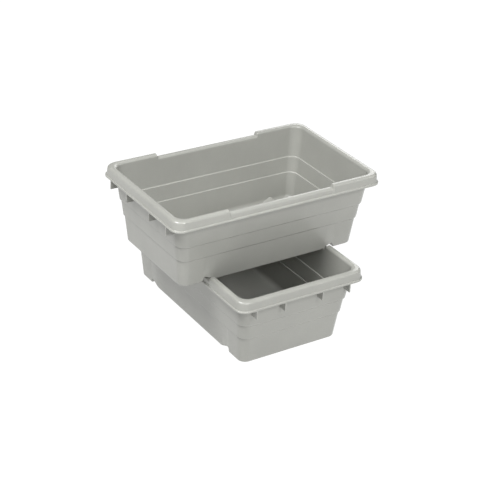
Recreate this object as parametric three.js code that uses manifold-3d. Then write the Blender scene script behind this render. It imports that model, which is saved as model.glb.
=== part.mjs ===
// Two identical stacking crates, the upper one turned a quarter turn and set across the lower one.
// Each crate is a one-piece moulding: drafted walls with two ledges, a hollow rim that dips along
// both long sides, gusset plates under the end rims, and two channels across its underside that
// sit over the dipped rim of the crate below. Units are millimetres and +Z is up. The origin is
// on the floor, under the middle of the pair.
import * as THREE from 'three';
import { mergeVertices } from 'three/addons/utils/BufferGeometryUtils.js';
import Module from 'manifold-3d';

const wasm = await Module();
wasm.setup();

// Driving dimensions of one crate. Its length lies along x and its width along y.
const crateHeight = 216;
const wall = 3;
const rimHalfLength = 319; // outside of the bead along the rim's foot
const rimHalfWidth = 196.5;
const baseHalfLength = 270; // outside of the walls, where they meet the floor
const baseHalfWidth = 150.5;
const baseCornerRadius = 22;
const cornerSpread = 0.45; // how much the corner radius grows for each millimetre outward
const largestCornerRadius = 28.5;
const draft = 0.104; // how far a wall leans out for each millimetre of height

// Ledges that run all round the walls, inside and outside.
const ledgeHeights = [79, 123.5];
const ledgeDepth = 3;

// The floor's rounded edges.
const outerFloorRadius = 5;
const innerFloorRadius = 15;

// The rim: a rounded crest, a skirt that hangs outside the wall, and a bead along its foot.
const crestInnerRadius = 7.5;
const crestOuterRadius = 5;
const crestFlat = 4.5;
const beadBottom = 185.5;
const beadHeight = 5;
const beadProud = 2.5;

// The dip along each long rim, which takes the width of the crate above. Its ends are short,
// steep ramps.
const dipHalfLength = 158.5;
const dipDepth = 9;
const rampLength = 3;

// Gusset plates between each end wall and the end rim.
const gussetOffsets = [-145, -58.5, 58.5, 145];
const gussetBottom = 161.5;

// The two channels across the underside: a slope that rests on the rim below, a round crown,
// and a steep outer side.
const channelCrownX = 199.3;
const channelCrownZ = 9.5;
const channelCrownRadius = 5.5;
const channelSlope = THREE.MathUtils.degToRad(23);
const channelSteep = THREE.MathUtils.degToRad(70);

// How far the upper crate's foot sinks below the top of the lower crate's rim.
const engagement = 16;

const cornerSegments = 4; // steps in an eighth of a turn

// Outlines are named by how far they stand outside the wall's foot on the long sides. The ends
// stand out a little further in proportion, so that the rim reaches its full length.
const beadGrow = rimHalfWidth - baseHalfWidth;
const endSpread = (rimHalfLength - baseHalfLength) / beadGrow;

// A rounded rectangle, "grow" millimetres outside the outline of the wall's foot.
function outline(grow) {
  const radius = Math.min(baseCornerRadius + grow * cornerSpread, largestCornerRadius);
  const x = baseHalfLength + grow * endSpread - radius;
  const y = baseHalfWidth + grow - radius;
  const quarter = Math.PI / 2;
  const shape = new THREE.Shape();
  shape.absarc(x, y, radius, 0, quarter);
  shape.absarc(-x, y, radius, quarter, 2 * quarter);
  shape.absarc(-x, -y, radius, 2 * quarter, 3 * quarter);
  shape.absarc(x, -y, radius, 3 * quarter, 4 * quarter);
  return shape.getPoints(cornerSegments).slice(0, -1);
}

// A closed solid through a stack of outlines, each given as [grow, height].
function loft(levels) {
  const rings = levels.map(([grow, height]) => outline(grow).map((point) => [point.x, point.y, height]));
  const count = rings[0].length;
  const faces = [];
  for (let level = 0; level < rings.length - 1; level += 1) {
    for (let step = 0; step < count; step += 1) {
      const here = level * count + step;
      const next = level * count + ((step + 1) % count);
      faces.push(here, next, next + count, here, next + count, here + count);
    }
  }
  const top = (rings.length - 1) * count;
  for (let step = 1; step < count - 1; step += 1) {
    faces.push(0, step + 1, step);
    faces.push(top, top + step, top + step + 1);
  }
  const geometry = new THREE.BufferGeometry();
  geometry.setAttribute('position', new THREE.Float32BufferAttribute(rings.flat(2), 3));
  geometry.setIndex(faces);
  return toSolid(geometry);
}

function toSolid(geometry) {
  const mesh = new wasm.Mesh({
    numProp: 3,
    vertProperties: new Float32Array(geometry.attributes.position.array),
    triVerts: new Uint32Array(geometry.index.array),
  });
  return new wasm.Manifold(mesh);
}

function toGeometry(solid) {
  const mesh = solid.getMesh();
  const geometry = new THREE.BufferGeometry();
  geometry.setAttribute('position', new THREE.BufferAttribute(mesh.vertProperties, 3));
  geometry.setIndex(new THREE.BufferAttribute(mesh.triVerts, 1));
  geometry.computeVertexNormals();
  return geometry;
}

// A box between two corners, as a solid.
function block(low, high) {
  const [x0, y0, z0] = low;
  const [x1, y1, z1] = high;
  const positions = [];
  for (const z of [z0, z1]) {
    positions.push(x0, y0, z, x1, y0, z, x1, y1, z, x0, y1, z);
  }
  const faces = [0, 2, 1, 0, 3, 2, 4, 5, 6, 4, 6, 7];
  for (let side = 0; side < 4; side += 1) {
    const next = (side + 1) % 4;
    faces.push(side, next, next + 4, side, next + 4, side + 4);
  }
  const geometry = new THREE.BufferGeometry();
  geometry.setAttribute('position', new THREE.Float32BufferAttribute(positions, 3));
  geometry.setIndex(faces);
  return toSolid(geometry);
}

// How far the outside of the wall stands outside its foot at a height.
function wallGrow(height) {
  const ledgesBelow = ledgeHeights.filter((ledge) => ledge < height).length;
  return draft * height + ledgesBelow * ledgeDepth;
}

// Levels of a wall face up to a height, with both ledges; "inset" is how far it stands inside
// the outside face, and each ledge is raised by the same amount.
function wallLevels(inset, topHeight) {
  const levels = [];
  for (const ledge of ledgeHeights) {
    const grow = wallGrow(ledge) - inset;
    levels.push([grow, ledge + inset]);
    levels.push([grow + ledgeDepth, ledge + inset]);
  }
  levels.push([wallGrow(topHeight) - inset, topHeight]);
  return levels;
}

// Levels along a quarter circle, from angle "from" to angle "to", in degrees.
function arcLevels(centreGrow, centreHeight, radius, from, to, steps) {
  const levels = [];
  for (let step = 0; step <= steps; step += 1) {
    const angle = THREE.MathUtils.degToRad(from + ((to - from) * step) / steps);
    levels.push([centreGrow + radius * Math.cos(angle), centreHeight + radius * Math.sin(angle)]);
  }
  return levels;
}

// The walls, floor and rim of a crate whose rim is at one height all round.
function shell(rimTop) {
  const crestStart = rimTop - crestInnerRadius;
  const flatStart = wallGrow(crestStart) - wall + crestInnerRadius;
  const flatEnd = flatStart + crestFlat;
  const skirtTop = rimTop - crestOuterRadius;
  const skirtFoot = beadGrow - beadProud;

  const outerFloorGrow = wallGrow(outerFloorRadius) - outerFloorRadius;
  const outside = loft([
    ...arcLevels(outerFloorGrow, outerFloorRadius, outerFloorRadius, -90, 0, 3),
    ...wallLevels(0, crestStart - wall),
    [flatStart - 1, rimTop - wall],
    [flatStart - 1, rimTop - wall / 2],
  ]);

  const innerFloorHeight = wall + innerFloorRadius;
  const innerFloorGrow = wallGrow(innerFloorHeight) - wall - innerFloorRadius;
  const inside = loft([
    ...arcLevels(innerFloorGrow, innerFloorHeight, innerFloorRadius, -90, 0, 4),
    ...wallLevels(wall, crestStart),
    ...arcLevels(flatStart, crestStart, crestInnerRadius, 180, 90, 3).slice(1),
    [flatStart, rimTop + 1],
  ]);

  const rim = loft([
    [beadGrow, beadBottom],
    [beadGrow, beadBottom + beadHeight],
    [skirtFoot, beadBottom + beadHeight + beadProud / 2],
    ...arcLevels(flatEnd, skirtTop, crestOuterRadius, 0, 90, 3),
  ]);
  const hollow = loft([
    [skirtFoot - wall + 1, beadBottom - 1],
    [flatEnd + crestOuterRadius - wall, skirtTop],
    [flatEnd, rimTop - wall],
  ]);
  const body = outside.add(rim.subtract(hollow));
  return { body, inside, rim };
}

// The cross-section of a channel, moved outward by "offset", as points from its slope to its side.
function channelSection(offset, bottom) {
  const radius = channelCrownRadius + offset;
  const slopeTop = Math.PI / 2 + channelSlope;
  const sideTop = Math.PI / 2 - channelSteep;
  const section = new THREE.Shape();
  const slopeX = channelCrownX + radius * Math.cos(slopeTop);
  const slopeZ = channelCrownZ + radius * Math.sin(slopeTop);
  const sideX = channelCrownX + radius * Math.cos(sideTop);
  const sideZ = channelCrownZ + radius * Math.sin(sideTop);
  section.moveTo(sideX + (sideZ - bottom) / Math.tan(channelSteep), bottom);
  section.lineTo(sideX, sideZ);
  section.absarc(channelCrownX, channelCrownZ, radius, sideTop, slopeTop);
  section.lineTo(slopeX - (slopeZ - bottom) / Math.tan(channelSlope), bottom);
  return section;
}

// Plates under one end rim, from the end wall out to the edge of the bead.
function gussets(side) {
  const root = baseHalfLength + wallGrow(gussetBottom) - wall;
  const inHollow = rimHalfLength - 3 * wall;
  let plates = null;
  for (const offset of gussetOffsets) {
    const low = offset - wall / 2;
    const high = offset + wall / 2;
    const lower = block([root, low, gussetBottom], [rimHalfLength, high, beadBottom + beadHeight - 1]);
    const upper = block([root, low, beadBottom], [inHollow, high, crateHeight - 1.5 * wall]);
    const plate = lower.add(upper);
    plates = plates ? plates.add(plate) : plate;
  }
  const beadOutline = loft([[beadGrow, gussetBottom - 1], [beadGrow, crateHeight]]);
  const trimmed = plates.intersect(beadOutline);
  return side > 0 ? trimmed : trimmed.rotate([0, 0, 180]);
}

// A bar right across the crate whose section, in x and z, is a polygon; "side" is 1 or -1.
function crossBar(section, side) {
  const length = 2 * rimHalfWidth + 20;
  const geometry = new THREE.ExtrudeGeometry(section, {
    depth: length,
    steps: 1,
    curveSegments: 6,
    bevelEnabled: false,
  });
  geometry.rotateX(Math.PI / 2);
  geometry.translate(0, length / 2, 0);
  if (side < 0) {
    geometry.rotateZ(Math.PI);
  }
  geometry.deleteAttribute('normal');
  geometry.deleteAttribute('uv');
  return toSolid(mergeVertices(geometry, 1e-4));
}

function polygon(points) {
  return new THREE.Shape(points.map(([x, z]) => new THREE.Vector2(x, z)));
}

function makeCrate() {
  const high = shell(crateHeight);
  const low = shell(crateHeight - dipDepth);
  const dipTop = crateHeight - dipDepth;
  const dipWide = dipHalfLength + rampLength;
  const above = crateHeight + 2;
  const below = beadBottom - dipDepth;

  // Between the two ramps the crate has the low rim. A thin sloping plate under each ramp closes
  // the hollow of the high rim.
  const dipSpan = crossBar(polygon([
    [-dipHalfLength, below],
    [dipHalfLength, below],
    [dipHalfLength, dipTop],
    [dipWide, crateHeight],
    [dipWide, above],
    [-dipWide, above],
    [-dipWide, crateHeight],
    [-dipHalfLength, dipTop],
  ]), 1);
  const ramp = polygon([
    [dipHalfLength, dipTop - wall],
    [dipHalfLength + wall, dipTop - wall],
    [dipWide + wall, crateHeight - wall / 2],
    [dipWide + wall, crateHeight],
    [dipWide, crateHeight],
    [dipHalfLength, dipTop],
  ]);
  let body = high.body.subtract(dipSpan).add(low.body.intersect(dipSpan));
  for (const end of [-1, 1]) {
    body = body.add(high.rim.intersect(crossBar(ramp, end)));
    body = body.add(gussets(end));
  }

  // The inside, which is hollowed out after everything on the outside is joined.
  const cavity = high.inside.add(low.inside.intersect(dipSpan));
  let crate = body.subtract(cavity);

  // The floor rises over each channel, and the channel is cut from below.
  const lowerWalls = high.body.intersect(block([-400, -400, -1], [400, 400, beadBottom / 2]));
  for (const side of [-1, 1]) {
    const hump = crossBar(channelSection(wall, wall / 2), side);
    crate = crate.add(hump.intersect(lowerWalls));
  }
  for (const side of [-1, 1]) {
    crate = crate.subtract(crossBar(channelSection(0, -1), side));
  }
  return toGeometry(crate);
}

const crateGeometry = makeCrate();
const greyPlastic = new THREE.MeshStandardMaterial({ color: 0xb4b5ae, roughness: 0.45, metalness: 0 });

const group = new THREE.Group();

const lowerCrate = new THREE.Mesh(crateGeometry, greyPlastic);
lowerCrate.name = 'lower_crate';
lowerCrate.rotation.z = Math.PI / 2;
group.add(lowerCrate);

const upperCrate = new THREE.Mesh(crateGeometry, greyPlastic.clone());
upperCrate.name = 'upper_crate';
upperCrate.position.z = crateHeight - engagement;
group.add(upperCrate);

export default group;
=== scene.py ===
"""Two grey plastic stacking crates, one set crosswise on the other, on a white studio floor."""
import math

import bmesh
import bpy
import numpy as np
from mathutils import Matrix, Vector


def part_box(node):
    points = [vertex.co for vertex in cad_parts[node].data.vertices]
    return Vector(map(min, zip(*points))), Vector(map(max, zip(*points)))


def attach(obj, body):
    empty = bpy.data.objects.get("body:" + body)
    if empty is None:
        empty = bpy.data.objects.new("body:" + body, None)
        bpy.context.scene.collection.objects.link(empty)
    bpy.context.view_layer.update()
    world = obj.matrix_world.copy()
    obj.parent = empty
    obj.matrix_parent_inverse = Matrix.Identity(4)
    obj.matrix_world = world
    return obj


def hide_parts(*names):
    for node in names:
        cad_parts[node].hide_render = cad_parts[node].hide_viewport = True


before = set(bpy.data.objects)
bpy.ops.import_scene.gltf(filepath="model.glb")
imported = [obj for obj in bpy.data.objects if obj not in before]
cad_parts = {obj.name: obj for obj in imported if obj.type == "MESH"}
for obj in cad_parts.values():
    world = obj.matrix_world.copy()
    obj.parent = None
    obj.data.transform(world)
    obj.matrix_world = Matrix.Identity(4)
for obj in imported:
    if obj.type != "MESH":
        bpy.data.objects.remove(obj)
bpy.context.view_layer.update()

MM = 0.001

# ---------------------------------------------------------------- sizes of one crate, in millimetres
# The crate's length lies along x, and its foot is at height 0. Both crates are the same moulding.
upper_low, upper_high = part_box("upper_crate")
RIM_HALF_LENGTH = round(upper_high[0] / MM, 1)
RIM_HALF_WIDTH = round(upper_high[1] / MM, 1)
CRATE_HEIGHT = round((upper_high[2] - upper_low[2]) / MM, 1)
UPPER_FOOT = round(upper_low[2] / MM, 1)

# These repeat the CAD model.
WALL = 3.0
BASE_HALF_LENGTH = 270.0
BASE_HALF_WIDTH = 150.5
BASE_CORNER_RADIUS = 22.0
CORNER_SPREAD = 0.45
LARGEST_CORNER_RADIUS = 28.5
DRAFT = 0.104
LEDGE_HEIGHTS = (79.0, 123.5)
LEDGE_DEPTH = 3.0
OUTER_FLOOR_RADIUS = 5.0
INNER_FLOOR_RADIUS = 15.0
CREST_INNER_RADIUS = 7.5
BEAD_BOTTOM = 185.5
BEAD_HEIGHT = 5.0
BEAD_PROUD = 2.5
DIP_HALF_LENGTH = 158.5
DIP_DEPTH = 9.0
RAMP_LENGTH = 3.0
GUSSET_OFFSETS = (-145.0, -58.5, 58.5, 145.0)
GUSSET_BOTTOM = 161.5
CROWN_X = 199.3
CROWN_Z = 9.5
CROWN_RADIUS = 5.5
CHANNEL_SLOPE = math.radians(23)
CHANNEL_STEEP = math.radians(70)

# These are the skin's own: a crest rounder than the CAD's but as wide, ledges that slope where the
# CAD's are square, and a skirt that stands back along the dips.
CREST_OUTER_RADIUS = 8.0
CREST_FLAT = 1.5
LEDGE_SLOPE = 3.5  # height over which the outside steps out
SKIRT_STEP = 1.6

# The hollow under the rim: how far its inner top corner stands inside the crest's flat, and the
# thickness outside it at the crest and at the foot of the skirt.
HOLLOW_INSET = 1.0
CREST_THICKNESS = 3.4
SKIRT_THICKNESS = 2.0

# Corners of the section through wall and rim: radius, and steps round it.
SHARP = (0, 0)
OUTER_FLOOR = (OUTER_FLOOR_RADIUS, 8)
LEDGE_FOOT = (1.0, 3)
LEDGE_LIP = (1.5, 4)
HOLLOW_ROOT = (2.0, 4)
HOLLOW_INNER = (2.0, 3)
HOLLOW_OUTER = (4.0, 6)
SKIRT_FOOT = (0.7, 3)
BEAD_LOWER = (1.2, 4)
BEAD_UPPER = (1.6, 5)
BEAD_ROOT = (1.0, 3)
CREST_OUTER = (CREST_OUTER_RADIUS, 14)
CREST_INNER = (CREST_INNER_RADIUS, 12)
INNER_LEDGE_LIP = (0.8, 3)
INNER_LEDGE_FOOT = (1.1, 4)
INNER_FLOOR = (INNER_FLOOR_RADIUS, 12)

# How far the section runs in from the foot of the wall, under the floor and over it, before the
# strips across take over.
UNDER_RUN = 8.0
OVER_RUN = 19.0

# Places along half a long side, as (from, up to, spacing): closest at the ends of the dip and over
# the channels. Two more lie on the way to the corner, at these shares of it.
PLACE_ROWS = ((0, 155, 12.0), (155, 165, 0.5), (166, 190, 3.0), (190, 215, 0.75), (222, 223, 1.0))
CORNER_SHARES = (0.35, 0.7)
CORNER_STEPS = 20
PLACES_ACROSS = 27

FLOOR_BAND = 40.0  # below this height the channels shape the skin
HUMP_BLEND = 2.0  # rounding between the hump over a channel and the floor
WALL_BLEND = 1.5  # rounding between the hump and the inside of the wall

# The shape of a gusset plate.
GUSSET_INSET = 0.3  # its outer edge, inside the bead's face
GUSSET_IN_BEAD = 2.0  # how far that edge runs up into the bead
GUSSET_IN_HOLLOW = 2.5 * WALL  # where it goes on up in the rim's hollow, inside the bead's face
GUSSET_LEAN = 2.0  # how far it leans inward there
GUSSET_TOP_DROP = 2 * WALL  # its top, below the crest
GUSSET_ROOT_DROP = 12.0  # where the top meets the wall, below the crest
GUSSET_ROUNDING = 0.45

SMOOTH_BELOW = math.radians(40)  # an edge that turns more than this keeps its crease

# Edge wear, with a painted highlight along the edges, starts and is full where the surface bends
# this sharply, as one over its radius in metres. A stretch of the section that is longer than
# LONG_STRETCH gets an extra point SUPPORT_REACH from each end, so that the pale edges stay narrow.
EDGE_BEND_LEAST = 120.0
EDGE_BEND_MOST = 700.0
LONG_STRETCH = 6.0
SUPPORT_REACH = 1.0

# ---------------------------------------------------------------- colours, light and camera
PLASTIC_DARK = (0.303, 0.305, 0.281, 1)
PLASTIC_LIGHT = (0.330, 0.332, 0.306, 1)
PLASTIC_SPECK = (0.290, 0.292, 0.270, 1)
# Pale colour of convex edges: partly wear, partly a painted highlight.
PLASTIC_WORN_EDGE_HIGHLIGHT = (0.355, 0.357, 0.331, 1)
PLASTIC_IOR = 1.49
WHITE = (1, 1, 1, 1)

# Scale and detail of each noise in the plastic, then the depth of its grain in metres.
MOTTLE_NOISE = (9, 4)
SPECK_NOISE = (700, 2)
# The next noise breaks up the pale edges, which are partly wear and partly a painted highlight.
EDGE_WEAR_AND_HIGHLIGHT_NOISE = (55, 4)
POLISH_NOISE = (260, 3)
GRAIN_NOISE = (1400, 2)
GRAIN_STRENGTH = 0.25
GRAIN_DEPTH = 0.00012

ROUGHNESS_RANGE = (0.20, 0.25)
EDGE_POLISH = 0.06  # how much smoother a rubbed edge is

FLOOR_COLOUR = (0.05, 0.05, 0.05, 1)
FLOOR_ROUGHNESS = 0.9
FLOOR_GLOW = 1.0
FLOOR_SIZE = 60
FLOOR_DROP = 0.0005
WORLD_STRENGTH = 0.12

# Each light's name, azimuth and elevation in degrees, side in metres, and brightness.
SOFTBOXES = (
    ("key", -84, 57, 1.2, 25.0),
    ("front_left", -45, 58, 1.6, 2.6),
    ("front_low", -3, 36, 1.2, 16.5),
    ("right_low", 50, 28, 1.6, 1.3),
    ("back_right", 130, 28, 1.6, 3.5),
)
SOFTBOX_REACH = 3.4
SOFTBOX_TARGET = Vector((0, 0, 0.2))

CAMERA_AZIMUTH = -34.073
CAMERA_ELEVATION = 28.546
CAMERA_ROLL = math.radians(3.313)
CAMERA_TARGET = Vector((0.010005, -0.003212, 0.191222))
CAMERA_DISTANCE = 3.956163
CAMERA_LENS = 107.6289
CAMERA_SENSOR = 36
CAMERA_SIGHT = 200

# How far the outline at the bead stands outside the foot, and how much faster the ends grow.
BEAD_GROW = RIM_HALF_WIDTH - BASE_HALF_WIDTH
END_SPREAD = (RIM_HALF_LENGTH - BASE_HALF_LENGTH) / BEAD_GROW


# ---------------------------------------------------------------- the section through wall and rim
def wall_grow(height):
    """How far the outside of the wall stands outside its foot at a height."""
    ledges_below = sum(1 for ledge in LEDGE_HEIGHTS if ledge < height)
    return DRAFT * height + LEDGE_DEPTH * ledges_below


def rounded_path(corners):
    """Points along a path of (grow, height, radius, steps) corners, each corner rounded."""
    points = []
    for index, (grow, height, radius, steps) in enumerate(corners):
        here = np.array((grow, height), float)
        if radius == 0:
            points.append(here)
            continue
        before = np.array(corners[index - 1][:2], float) - here
        after = np.array(corners[index + 1][:2], float) - here
        before /= np.linalg.norm(before)
        after /= np.linalg.norm(after)
        half_angle = math.acos(np.clip(before @ after, -1, 1)) / 2
        reach = radius / math.tan(half_angle)
        middle = before + after
        centre = here + middle / np.linalg.norm(middle) * radius / math.sin(half_angle)
        start = here + before * reach - centre
        end = here + after * reach - centre
        sweep = math.acos(np.clip(start @ end / radius**2, -1, 1))
        for step in range(steps + 1):
            part = step / steps
            weight_start = math.sin((1 - part) * sweep) / math.sin(sweep)
            weight_end = math.sin(part * sweep) / math.sin(sweep)
            points.append(centre + weight_start * start + weight_end * end)
    return np.array(points)


def with_supports(points):
    """Adds a point near both ends of each long stretch, which keeps edge wear narrow."""
    out = [points[0]]
    for before, after in zip(points, points[1:]):
        length = np.linalg.norm(after - before)
        if length > LONG_STRETCH:
            step = (after - before) / length * SUPPORT_REACH
            out += [before + step, after - step]
        out.append(after)
    return np.array(out)


def profile(rim_top, skirt_step):
    """The section of wall and rim, from the underside, up the outside and down the inside."""
    crest_start = rim_top - CREST_INNER_RADIUS
    flat_start = wall_grow(crest_start) - WALL + CREST_INNER_RADIUS
    crest_outside = flat_start + CREST_FLAT + CREST_OUTER_RADIUS - skirt_step / 2
    skirt = BEAD_GROW - BEAD_PROUD - skirt_step
    hollow_root = crest_start - WALL
    hollow_top = rim_top - WALL
    bead_top = BEAD_BOTTOM + BEAD_HEIGHT

    corners = [(-UNDER_RUN, 0, *SHARP), (0, 0, *OUTER_FLOOR)]
    for ledge in LEDGE_HEIGHTS:
        low = wall_grow(ledge)
        corners.append((low, ledge - LEDGE_SLOPE / 2, *LEDGE_FOOT))
        corners.append((low + LEDGE_DEPTH, ledge + LEDGE_SLOPE / 2, *LEDGE_LIP))
    corners += [
        (wall_grow(hollow_root), hollow_root, *HOLLOW_ROOT),
        (flat_start - HOLLOW_INSET, hollow_top, *HOLLOW_INNER),
        (crest_outside - CREST_THICKNESS, hollow_top, *HOLLOW_OUTER),
        (skirt - SKIRT_THICKNESS, BEAD_BOTTOM, *SKIRT_FOOT),
        (BEAD_GROW, BEAD_BOTTOM, *BEAD_LOWER),
        (BEAD_GROW, bead_top, *BEAD_UPPER),
        (skirt, bead_top + BEAD_PROUD / 2, *BEAD_ROOT),
        (crest_outside, rim_top, *CREST_OUTER),
        (flat_start - CREST_INNER_RADIUS, rim_top, *CREST_INNER),
    ]
    for ledge in reversed(LEDGE_HEIGHTS):
        low = wall_grow(ledge) - WALL
        corners.append((low + LEDGE_DEPTH, ledge + WALL, *INNER_LEDGE_LIP))
        corners.append((low, ledge + WALL, *INNER_LEDGE_FOOT))
    corners += [(wall_grow(WALL) - WALL, WALL, *INNER_FLOOR), (-OVER_RUN, WALL, *SHARP)]
    return with_supports(rounded_path(corners))


# ---------------------------------------------------------------- the dips and the channels
def dip_at(x):
    """How far the long rims are lowered at a place along the crate."""
    part = np.clip((DIP_HALF_LENGTH + RAMP_LENGTH - abs(x)) / RAMP_LENGTH, 0, 1)
    return DIP_DEPTH * part * part * (3 - 2 * part)


def channel_height(x, offset):
    """Height of the channel's surface above the foot, or of the hump over it with offset > 0."""
    distance = abs(x) - CROWN_X
    radius = CROWN_RADIUS + offset
    slope_limit = -radius * math.sin(CHANNEL_SLOPE)
    side_limit = radius * math.sin(CHANNEL_STEEP)
    if distance < slope_limit:
        top = CROWN_Z + radius * math.cos(CHANNEL_SLOPE)
        return top + (distance - slope_limit) * math.tan(CHANNEL_SLOPE)
    if distance > side_limit:
        top = CROWN_Z + radius * math.cos(CHANNEL_STEEP)
        return top - (distance - side_limit) * math.tan(CHANNEL_STEEP)
    return CROWN_Z + math.sqrt(radius**2 - distance**2)


def soft_max(first, second, width):
    """The larger of two heights, with the crease between them rounded."""
    mix = np.clip(0.5 + 0.5 * (first - second) / width, 0, 1)
    return second + (first - second) * mix + width * mix * (1 - mix) * 0.5


# ---------------------------------------------------------------- the skin of one crate
def places_round():
    """Places round the outline, and how many of them are on a long side.

    Each place is its x shift, its x and y share of the corner's centre, and its x and y direction.
    """
    rows = [x for first, limit, spacing in PLACE_ROWS for x in np.arange(first, limit, spacing)]
    along = [(x, 0) for x in rows] + [(rows[-1] * (1 - share), share) for share in CORNER_SHARES]
    along = [(-x, -share) for x, share in reversed(along[1:])] + along
    across = np.linspace(-1, 1, PLACES_ACROSS)[1:-1]
    out = []

    def corner(sign_x, sign_y, start):
        for step in range(CORNER_STEPS + 1):
            angle = math.radians(start + 90 * step / CORNER_STEPS)
            out.append((0, sign_x, sign_y, math.cos(angle), math.sin(angle)))

    out += [(0, 1, y, 1, 0) for y in across]
    corner(1, 1, 0)
    out += [(x, share, 1, 0, 1) for x, share in reversed(along)]
    corner(-1, 1, 90)
    out += [(0, -1, y, -1, 0) for y in reversed(across)]
    corner(-1, -1, 180)
    out += [(x, share, -1, 0, -1) for x, share in along]
    corner(1, -1, 270)
    return np.array(out, float), len(along)


def swept_points(places):
    """The section at each place, as an array of rings by places by x, y and z."""
    rings = len(profile(CRATE_HEIGHT, 0))
    inside = np.arange(rings) >= rings // 2
    points = np.zeros((rings, len(places), 3))
    for column, (shift, x_share, y_share, x_out, y_out) in enumerate(places):
        on_long_side = x_out == 0
        on_straight = on_long_side and x_share == 0
        dip = dip_at(shift) if on_straight else 0.0
        section = profile(CRATE_HEIGHT - dip, SKIRT_STEP * dip / DIP_DEPTH)
        grow = section[:, 0]
        height = section[:, 1].copy()
        radius = np.minimum(BASE_CORNER_RADIUS + grow * CORNER_SPREAD, LARGEST_CORNER_RADIUS)
        middle_x = BASE_HALF_LENGTH + grow * END_SPREAD - radius
        middle_y = BASE_HALF_WIDTH + grow - radius
        points[:, column, 0] = shift + x_share * middle_x + radius * x_out
        points[:, column, 1] = y_share * middle_y + radius * y_out
        if on_long_side:
            channel = max(0.0, channel_height(shift, 0)) if on_straight else 0.0
            hump = soft_max(channel_height(shift, WALL) if on_straight else 0.0, WALL, HUMP_BLEND)
            low_outside = ~inside & (height < FLOOR_BAND)
            low_inside = inside & (height < FLOOR_BAND)
            height[low_outside] = np.maximum(height[low_outside], channel)
            height[low_inside] = soft_max(height[low_inside], hump, WALL_BLEND)
        points[:, column, 2] = height
    return points


def crate_mesh(name):
    """One crate as a single skin: walls and rim swept round the outline, and two floor faces."""
    places, along = places_round()
    points = swept_points(places)
    rings, count = points.shape[:2]
    vertices = list(points.reshape(-1, 3))
    faces = []
    for ring in range(rings - 1):
        for column in range(count):
            beside = (column + 1) % count
            low = ring * count
            high = low + count
            faces.append((low + column, low + beside, high + beside, high + column))

    # Strips across the floor join each place on one long side to its mirror on the other. The
    # first and last strips are the two ends of the outline itself.
    end_count = PLACES_ACROSS - 2
    side_count = 2 * (CORNER_STEPS + 1) + along
    left_side = range(end_count, end_count + side_count)
    right_side = range(count - 1, count - 1 - side_count, -1)
    for ring, faces_down in ((0, True), (rings - 1, False)):
        base = ring * count
        grid = [[base + step % count for step in range(-1, end_count + 1)]]
        for left, right in list(zip(left_side, right_side))[1:-1]:
            strip = [base + right]
            for step in range(1, PLACES_ACROSS - 1):
                part = step / (PLACES_ACROSS - 1)
                vertices.append(points[ring, right] * (1 - part) + points[ring, left] * part)
                strip.append(len(vertices) - 1)
            strip.append(base + left)
            grid.append(strip)
        far_end = end_count + side_count + end_count
        grid.append([base + far_end - step for step in range(end_count + 2)])
        for strip, following in zip(grid, grid[1:]):
            for step in range(PLACES_ACROSS - 1):
                face = (strip[step], strip[step + 1], following[step + 1], following[step])
                faces.append(face[::-1] if faces_down else face)

    mesh = bpy.data.meshes.new(name)
    mesh.from_pydata([tuple(np.array(vertex) * MM) for vertex in vertices], [], faces)
    mesh.update()
    return mesh


def gusset_plate(outline, offset):
    """An upright plate of the wall's thickness with rounded edges, as a bmesh."""
    plate = bmesh.new()
    front = [plate.verts.new((x * MM, (offset - WALL / 2) * MM, z * MM)) for x, z in outline]
    sweep = bmesh.ops.extrude_face_region(plate, geom=[plate.faces.new(front)])
    moved = [part for part in sweep["geom"] if isinstance(part, bmesh.types.BMVert)]
    bmesh.ops.translate(plate, verts=moved, vec=(0, WALL * MM, 0))
    bmesh.ops.recalc_face_normals(plate, faces=plate.faces)
    bmesh.ops.bevel(plate, geom=list(plate.edges), offset=GUSSET_ROUNDING * MM, segments=2,
                    profile=0.5, affect="EDGES")
    plate.verts.ensure_lookup_table()
    plate.verts.index_update()
    return plate


def add_gussets(mesh):
    """Adds the upright plates between each end wall and the end rim."""
    shell = bmesh.new()
    shell.from_mesh(mesh)
    root_top = CRATE_HEIGHT - GUSSET_ROOT_DROP
    root = BASE_HALF_LENGTH + wall_grow(GUSSET_BOTTOM) * END_SPREAD - WALL / 2
    top_root = BASE_HALF_LENGTH + wall_grow(root_top) * END_SPREAD - WALL / 2
    hollow = RIM_HALF_LENGTH - GUSSET_IN_HOLLOW
    edge = RIM_HALF_LENGTH - GUSSET_INSET
    bead_seat = BEAD_BOTTOM + GUSSET_IN_BEAD
    outline = [
        (root, GUSSET_BOTTOM),
        (edge, GUSSET_BOTTOM),
        (edge, bead_seat),
        (hollow, bead_seat),
        (hollow - GUSSET_LEAN, CRATE_HEIGHT - GUSSET_TOP_DROP),
        (top_root, root_top),
    ]
    for end in (-1, 1):
        for offset in GUSSET_OFFSETS:
            plate = gusset_plate([(end * x, z) for x, z in outline], offset)
            new = [shell.verts.new(vertex.co) for vertex in plate.verts]
            for polygon in plate.faces:
                shell.faces.new([new[vertex.index] for vertex in polygon.verts])
            plate.free()
    shell.to_mesh(mesh)
    shell.free()


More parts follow.
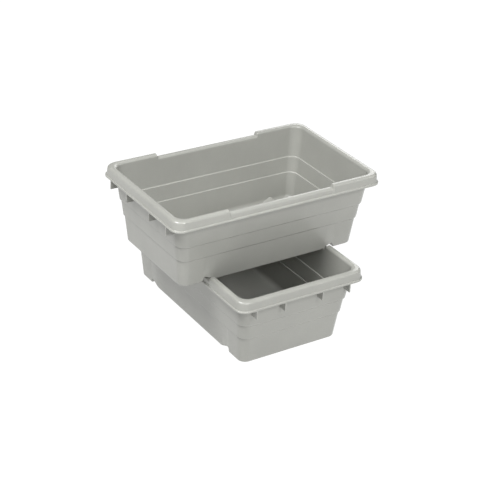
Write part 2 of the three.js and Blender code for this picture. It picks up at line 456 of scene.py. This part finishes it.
def mark_edges(mesh):
    """Writes how sharply the surface bends outward at each point, for the pale edges, which are
    partly rubbed wear and partly a painted highlight.
    """
    places = np.empty(len(mesh.vertices) * 3)
    normals = np.empty(len(mesh.vertices) * 3)
    ends = np.empty(len(mesh.edges) * 2, dtype=np.int32)
    mesh.vertices.foreach_get("co", places)
    mesh.vertices.foreach_get("normal", normals)
    mesh.edges.foreach_get("vertices", ends)
    places = places.reshape(-1, 3)
    normals = normals.reshape(-1, 3)
    first, second = ends.reshape(-1, 2).T
    bend = np.zeros(len(places))
    for here, there in ((first, second), (second, first)):
        along = places[here] - places[there]
        curvature = 2 * (normals[here] * along).sum(1) / (along * along).sum(1)
        np.maximum.at(bend, here, curvature)
    wear_and_highlight = np.clip((bend - EDGE_BEND_LEAST) / (EDGE_BEND_MOST - EDGE_BEND_LEAST), 0, 1)
    mesh.attributes.new("edge", "FLOAT", "POINT").data.foreach_set("value", wear_and_highlight)


# ---------------------------------------------------------------- the plastic
def make_plastic():
    """Light grey polypropylene with a satin skin: faint mottling, fine grain and pale edges that are
    partly wear and partly a painted highlight.
    """
    material = bpy.data.materials.new("grey_plastic")
    material.use_nodes = True
    nodes = material.node_tree.nodes
    links = material.node_tree.links
    shader = nodes["Principled BSDF"]
    place = nodes.new("ShaderNodeTexCoord")

    def noise(scale, detail):
        node = nodes.new("ShaderNodeTexNoise")
        node.inputs["Scale"].default_value = scale
        node.inputs["Detail"].default_value = detail
        links.new(place.outputs["Object"], node.inputs["Vector"])
        return node.outputs["Fac"]

    def between(value, low, high, new_low, new_high):
        node = nodes.new("ShaderNodeMapRange")
        links.new(value, node.inputs["Value"])
        node.inputs["From Min"].default_value = low
        node.inputs["From Max"].default_value = high
        node.inputs["To Min"].default_value = new_low
        node.inputs["To Max"].default_value = new_high
        return node.outputs["Result"]

    def combine(operation, first, second):
        node = nodes.new("ShaderNodeMath")
        node.operation = operation
        links.new(first, node.inputs[0])
        links.new(second, node.inputs[1])
        return node.outputs["Value"]

    def mix_colour(first, second, share):
        node = nodes.new("ShaderNodeMix")
        node.data_type = "RGBA"
        if isinstance(first, tuple):
            node.inputs["A"].default_value = first
        else:
            links.new(first, node.inputs["A"])
        node.inputs["B"].default_value = second
        links.new(share, node.inputs["Factor"])
        return node.outputs["Result"]

    edge = nodes.new("ShaderNodeAttribute")
    edge.attribute_name = "edge"
    mottle = between(noise(*MOTTLE_NOISE), 0.35, 0.65, 0, 1)
    speck = between(noise(*SPECK_NOISE), 0.35, 0.65, 0, 0.5)
    wear_and_highlight = between(noise(*EDGE_WEAR_AND_HIGHLIGHT_NOISE), 0.38, 0.62, 0.25, 0.85)
    # Pale edges broken up by noise: partly rubbed wear, partly a painted highlight.
    rubbed_and_highlit = combine("MULTIPLY", edge.outputs["Fac"], wear_and_highlight)
    colour = mix_colour(PLASTIC_DARK, PLASTIC_LIGHT, mottle)
    colour = mix_colour(colour, PLASTIC_SPECK, speck)
    colour = mix_colour(colour, PLASTIC_WORN_EDGE_HIGHLIGHT, rubbed_and_highlit)
    links.new(colour, shader.inputs["Base Color"])

    uneven = between(noise(*POLISH_NOISE), 0.3, 0.7, *ROUGHNESS_RANGE)
    polish = between(edge.outputs["Fac"], 0, 1, 0, EDGE_POLISH)
    links.new(combine("SUBTRACT", uneven, polish), shader.inputs["Roughness"])
    grain = nodes.new("ShaderNodeBump")
    grain.inputs["Strength"].default_value = GRAIN_STRENGTH
    grain.inputs["Distance"].default_value = GRAIN_DEPTH
    links.new(noise(*GRAIN_NOISE), grain.inputs["Height"])
    links.new(grain.outputs["Normal"], shader.inputs["Normal"])
    shader.inputs["IOR"].default_value = PLASTIC_IOR
    return material


plastic = make_plastic()


# ---------------------------------------------------------------- the two crates
def make_crate(name, node, body, turn, foot):
    """Makes one crate on its body, in place of its CAD node, turned about z and set at a height."""
    mesh = crate_mesh(name)
    mesh.materials.append(plastic)
    crate = bpy.data.objects.new(name, mesh)
    bpy.context.collection.objects.link(crate)
    add_gussets(mesh)
    mesh.transform(Matrix.Translation((0, 0, foot * MM)) @ Matrix.Rotation(turn, 4, "Z"))
    for polygon in mesh.polygons:
        polygon.use_smooth = True
    mesh.set_sharp_from_angle(angle=SMOOTH_BELOW)
    mark_edges(mesh)
    weighted = crate.modifiers.new("flat_normals", "WEIGHTED_NORMAL")
    weighted.keep_sharp = True
    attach(crate, body)
    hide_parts(node)


make_crate("lower_crate_shell", "lower_crate", "lower", math.radians(90), 0)
make_crate("upper_crate_shell", "upper_crate", "upper", 0, UPPER_FOOT)


# ---------------------------------------------------------------- floor, light and camera
def make_floor():
    """A wide floor that glows white, so that it looks plain and the shadows on it are faint."""
    bpy.ops.mesh.primitive_plane_add(size=FLOOR_SIZE, location=(0, 0, -FLOOR_DROP))
    floor = bpy.context.object
    floor.name = "studio_floor"
    material = bpy.data.materials.new("studio_white")
    material.use_nodes = True
    shader = material.node_tree.nodes["Principled BSDF"]
    shader.inputs["Base Color"].default_value = FLOOR_COLOUR
    shader.inputs["Roughness"].default_value = FLOOR_ROUGHNESS
    shader.inputs["Emission Color"].default_value = WHITE
    shader.inputs["Emission Strength"].default_value = FLOOR_GLOW
    shader.inputs["Specular IOR Level"].default_value = 0
    floor.data.materials.append(material)


def make_world():
    """Weak even light from all round."""
    world = bpy.data.worlds.new("studio")
    world.use_nodes = True
    background = world.node_tree.nodes["Background"]
    background.inputs["Color"].default_value = WHITE
    background.inputs["Strength"].default_value = WORLD_STRENGTH
    bpy.context.scene.world = world


def direction(azimuth, elevation):
    """The way from the crates to an azimuth and elevation in degrees, azimuth 0 being along -y."""
    turn = math.radians(azimuth)
    rise = math.radians(elevation)
    return Vector((math.sin(turn) * math.cos(rise), -math.cos(turn) * math.cos(rise), math.sin(rise)))


def make_softbox(name, azimuth, elevation, size, brightness):
    """A square light aimed at the crates, seen from them at an azimuth and elevation in degrees."""
    light = bpy.data.lights.new(name, "AREA")
    light.shape = "SQUARE"
    light.size = size
    light.energy = brightness * math.pi * size * size
    lamp = bpy.data.objects.new(name, light)
    bpy.context.collection.objects.link(lamp)
    way = direction(azimuth, elevation)
    lamp.location = SOFTBOX_TARGET + way * SOFTBOX_REACH
    lamp.rotation_euler = way.to_track_quat("Z", "Y").to_euler()


def make_camera():
    """The camera, rolled a little about its line of sight."""
    back = direction(CAMERA_AZIMUTH, CAMERA_ELEVATION)
    right = Vector((0, 0, 1)).cross(back).normalized()
    up = back.cross(right)
    right_rolled = math.cos(CAMERA_ROLL) * right + math.sin(CAMERA_ROLL) * up
    up_rolled = -math.sin(CAMERA_ROLL) * right + math.cos(CAMERA_ROLL) * up
    data = bpy.data.cameras.new("camera")
    data.sensor_width = CAMERA_SENSOR
    data.lens = CAMERA_LENS
    data.clip_end = CAMERA_SIGHT
    camera = bpy.data.objects.new("camera", data)
    bpy.context.collection.objects.link(camera)
    axes = Matrix((right_rolled, up_rolled, back)).transposed()
    camera.matrix_world = Matrix.Translation(CAMERA_TARGET + back * CAMERA_DISTANCE) @ axes.to_4x4()
    bpy.context.scene.camera = camera


make_floor()
make_world()
for softbox in SOFTBOXES:
    make_softbox(*softbox)
make_camera()
bpy.context.scene.view_settings.view_transform = "Standard"
